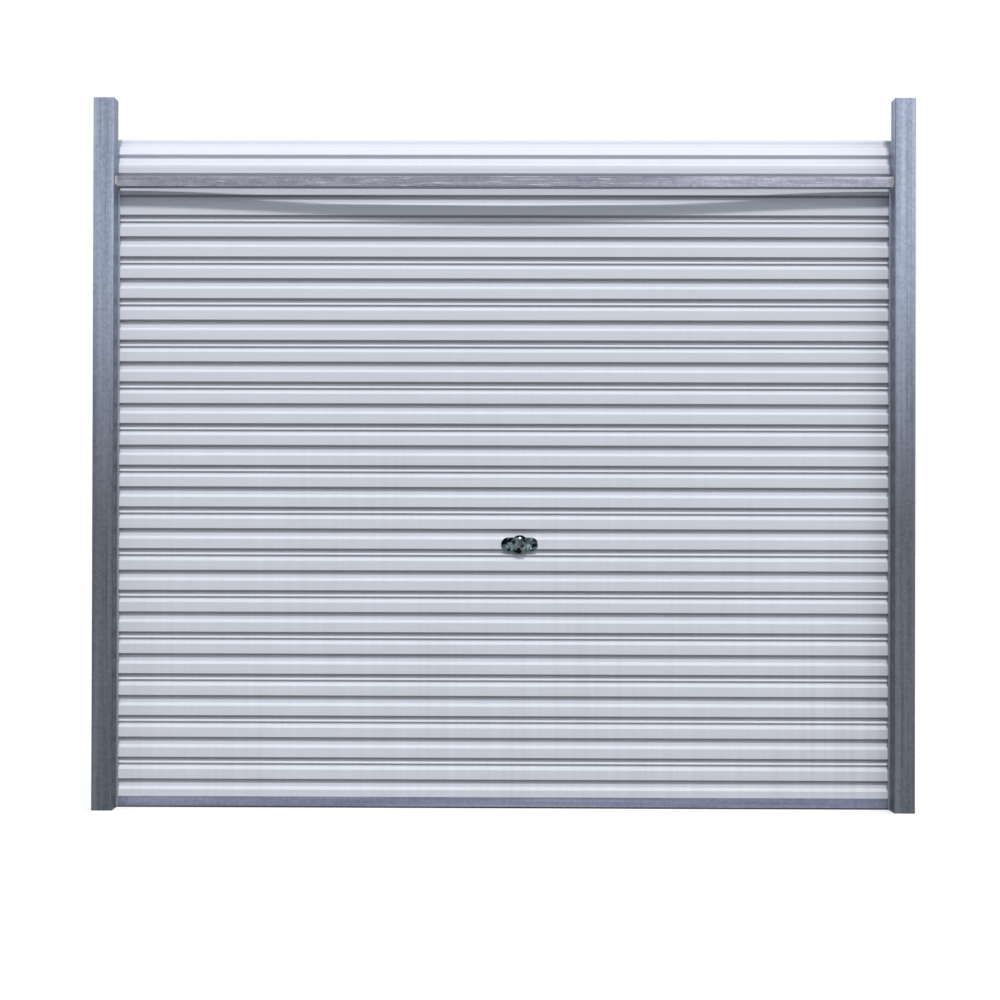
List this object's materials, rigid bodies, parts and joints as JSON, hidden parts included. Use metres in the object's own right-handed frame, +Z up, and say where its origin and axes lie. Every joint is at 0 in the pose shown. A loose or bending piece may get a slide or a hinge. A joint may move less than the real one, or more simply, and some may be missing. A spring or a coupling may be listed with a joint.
{
  "type": "roller door",
  "caption": "Ribbed steel sheet door that winds onto a sprung drum behind two box posts and a header angle, with a turn-knob lock and side bars.",
  "frame": {"origin": "on the floor, midway between the posts and midway through the whole depth", "axes": "+Z up, the outside of the door faces -Y, +X to the right seen from outside"},
  "size_m": [2.57, 0.3199, 2.23],
  "materials": {
    "galvanised_post": "galvanised, weathered",
    "galvanised_bar": "galvanised, scuffed",
    "weld": "weld bead, lightly rusted",
    "galvanised_guide": "galvanised, rolled",
    "guide_nylon": "moulded nylon",
    "zinc_fixings": "zinc plated",
    "bracket_steel": "galvanised plate",
    "axle_steel": "galvanised tube",
    "spring_steel": "oiled black spring wire",
    "wheel_casting": "as cast",
    "coated_sheet": "prefinished, satin, pale cool grey",
    "rail_steel": "galvanised, weathered",
    "seal_rubber": "extruded black rubber",
    "handle_steel": "zinc plated",
    "lock_chrome": "polished chrome on die casting",
    "lock_steel": "zinc plated pressing",
    "barrel_metal": "nickel plated"
  },
  "bodies": {
    "frame": {"post_left": "galvanised_post", "post_right": "galvanised_post", "header_bar": "galvanised_bar", "header_welds": "weld", "guide_left": "galvanised_guide", "guide_right": "galvanised_guide", "guide_liner_left": "guide_nylon", "guide_liner_right": "guide_nylon", "guide_screws": "zinc_fixings", "stop_bolts": "zinc_fixings", "keeper_left": "galvanised_guide", "keeper_right": "galvanised_guide", "bracket_left": "bracket_steel", "bracket_right": "bracket_steel", "bracket_bolts": "zinc_fixings", "axle": "axle_steel", "axle_clamps": "zinc_fixings", "axle_spacers": "guide_nylon", "spring_left": "spring_steel", "spring_right": "spring_steel", "spring_collars": "bracket_steel"},
    "drum": {"drum_wheel_left": "wheel_casting", "drum_wheel_centre": "wheel_casting", "drum_wheel_right": "wheel_casting", "wheel_bushes": "guide_nylon", "curtain_roll": "coated_sheet", "roll_bolts": "zinc_fixings"},
    "curtain": {"curtain_sheet": "coated_sheet", "bottom_rail": "rail_steel", "rail_clamp": "rail_steel", "rail_screws": "zinc_fixings", "weather_seal": "seal_rubber", "pull_handle": "handle_steel"},
    "lock": {"lock_plate": "lock_chrome", "lock_case": "lock_steel", "lock_screws": "zinc_fixings", "bar_clips": "lock_steel"},
    "knob": {"lock_knob": "lock_chrome", "lock_spindle": "lock_steel", "lock_cam": "lock_steel"},
    "key": {"key_barrel": "barrel_metal"},
    "bar_left": {"lock_bar_left": "lock_steel"},
    "bar_right": {"lock_bar_right": "lock_steel"}
  },
  "joints": [
    {"name": "lift", "type": "slide", "parent": "frame", "child": "curtain", "axis": [0, 0, 1], "range_m": [0, 1.8], "deforming": ["curtain_sheet"]},
    {"name": "drum_spin", "type": "hinge", "parent": "frame", "child": "drum", "pos_m": [0, 0.039, 2.02], "axis": [-1, 0, 0], "range_deg": [0, 922.8]},
    {"name": "lock_fall_back", "type": "slide", "parent": "curtain", "child": "lock", "axis": [0, 0, -1], "range_m": [0, 0.7409]},
    {"name": "lock_turn", "type": "hinge", "parent": "lock", "child": "knob", "pos_m": [0.052, -0.079, 0.83375], "axis": [0, 1, 0], "range_deg": [0, 90]},
    {"name": "key_turn", "type": "hinge", "parent": "knob", "child": "key", "pos_m": [0.052, -0.079, 0.83375], "axis": [0, 1, 0], "range_deg": [0, 90]},
    {"name": "bar_left_slide", "type": "slide", "parent": "lock", "child": "bar_left", "axis": [-1, 0, 0], "range_m": [0, 0.027]},
    {"name": "bar_right_slide", "type": "slide", "parent": "lock", "child": "bar_right", "axis": [1, 0, 0], "range_m": [0, 0.02687]}
  ],
  "couplings": [
    {"joint": "drum_spin", "follows": "lift", "rad_per_m": 8.9286},
    {"joint": "lock_fall_back", "follows": "lift", "ratio": 0.41106},
    {"joint": "bar_left_slide", "follows": "bar_right_slide", "ratio": 1},
    {"joint": "lock_turn", "follows": "bar_right_slide", "rad_per_m": 58.45}
  ]
}
